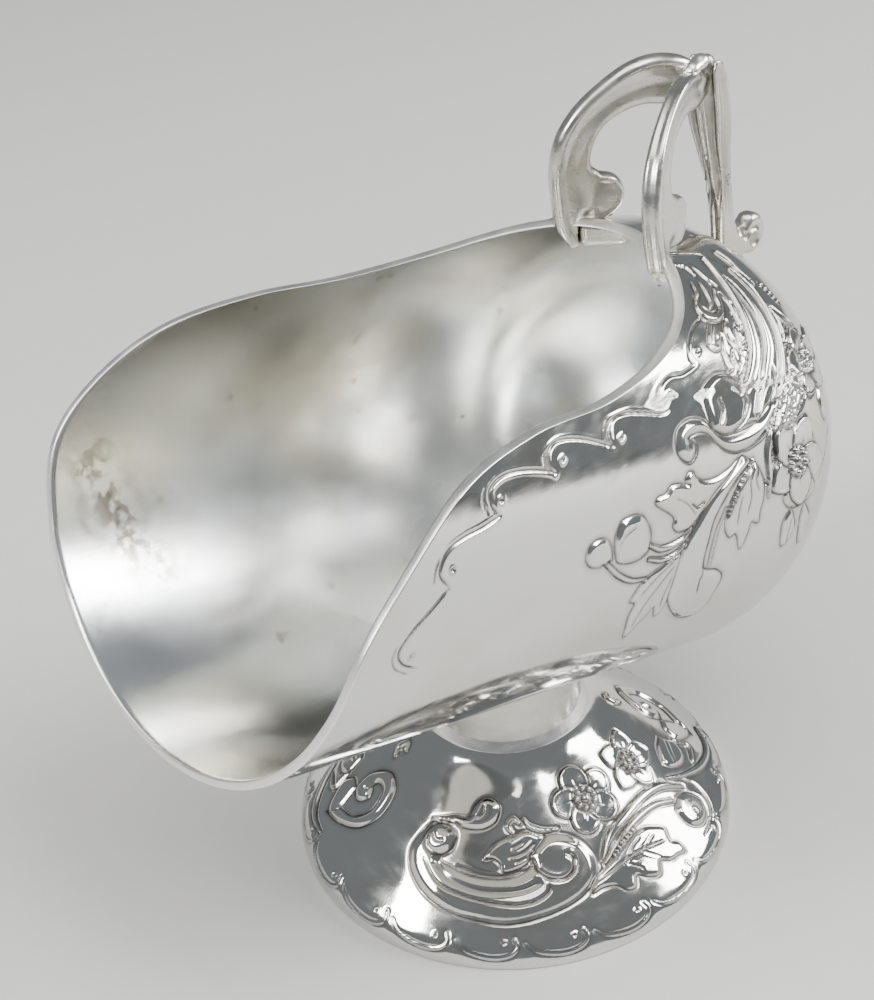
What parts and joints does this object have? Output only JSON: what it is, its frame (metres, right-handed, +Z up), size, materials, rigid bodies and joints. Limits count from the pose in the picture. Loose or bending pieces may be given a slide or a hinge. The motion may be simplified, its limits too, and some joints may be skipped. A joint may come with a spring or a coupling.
{
  "type": "sugar scuttle",
  "caption": "Silver-plated sugar scuttle: a tilted open bowl with a domed end and S-curved sides, a chased floral relief, a round domed foot and an arched three-legged cast handle.",
  "frame": {"origin": "centre of the foot's base circle, on the surface that it stands on", "axes": "+Z up, -Y towards the open mouth, X = 0 the plane of symmetry"},
  "size_m": [0.09, 0.1521, 0.1459],
  "materials": {
    "silver_polished": "mirror-polished silver plate, dark oxide in the relief, satin and tarnished inside",
    "silver_cast": "cast silver-plated metal, softly polished with dark recesses",
    "silver_solder": "silver solder, slightly dull"
  },
  "bodies": {
    "root": {"bowl_shell": "silver_polished", "foot_dome": "silver_polished", "neck_collar": "silver_polished", "foot_solder": "silver_solder", "belly_solder": "silver_solder", "handle_left_leg": "silver_cast", "handle_right_leg": "silver_cast", "left_rim_tab": "silver_cast", "right_rim_tab": "silver_cast", "handle_leaf": "silver_cast", "crown_solder": "silver_solder"}
  },
  "joints": []
}
